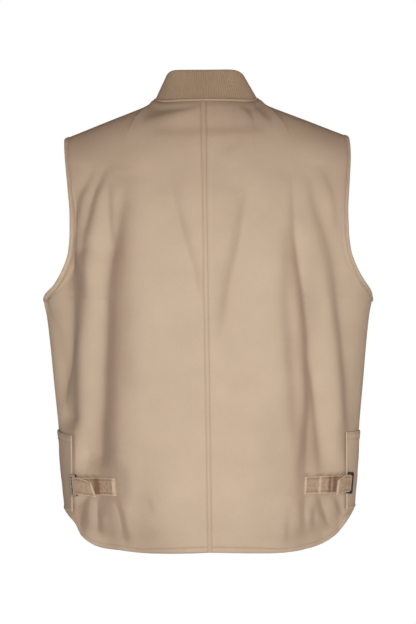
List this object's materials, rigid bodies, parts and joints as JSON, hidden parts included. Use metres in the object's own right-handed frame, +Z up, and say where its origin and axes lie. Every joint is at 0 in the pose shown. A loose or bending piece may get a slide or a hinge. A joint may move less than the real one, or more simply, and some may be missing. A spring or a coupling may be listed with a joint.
{
  "type": "waistcoat",
  "caption": "Sleeveless twill work waistcoat in its worn shape, with a ribbed stand collar, bound armholes, wrap-round patch pockets and buckled waist straps on the back.",
  "frame": {"origin": "midway between the points where the shoulder seams meet the collar, where the shoulders carry the garment", "axes": "+Z up, +Y towards the wearer's front, +X towards the wearer's right hand"},
  "size_m": [0.4974, 0.2671, 0.709],
  "materials": {
    "twill": "matt tan cotton twill",
    "knit": "rib knit, a darker tan",
    "slide_metal": "dark nickel plating, satin",
    "zip_tape": "woven tape with plain teeth"
  },
  "bodies": {
    "root": {"back_left": "twill", "back_right": "twill", "back_seam": "twill", "front_left": "twill", "front_right": "twill", "front_zip": "zip_tape", "collar": "knit", "neck_binding": "twill", "armhole_binding_left": "twill", "armhole_binding_right": "twill", "pocket_left": "twill", "pocket_right": "twill", "waist_strap_left": "twill", "waist_strap_right": "twill", "slide_tab_left": "twill", "slide_tab_right": "twill", "slide_left": "slide_metal", "slide_right": "slide_metal"}
  },
  "joints": []
}
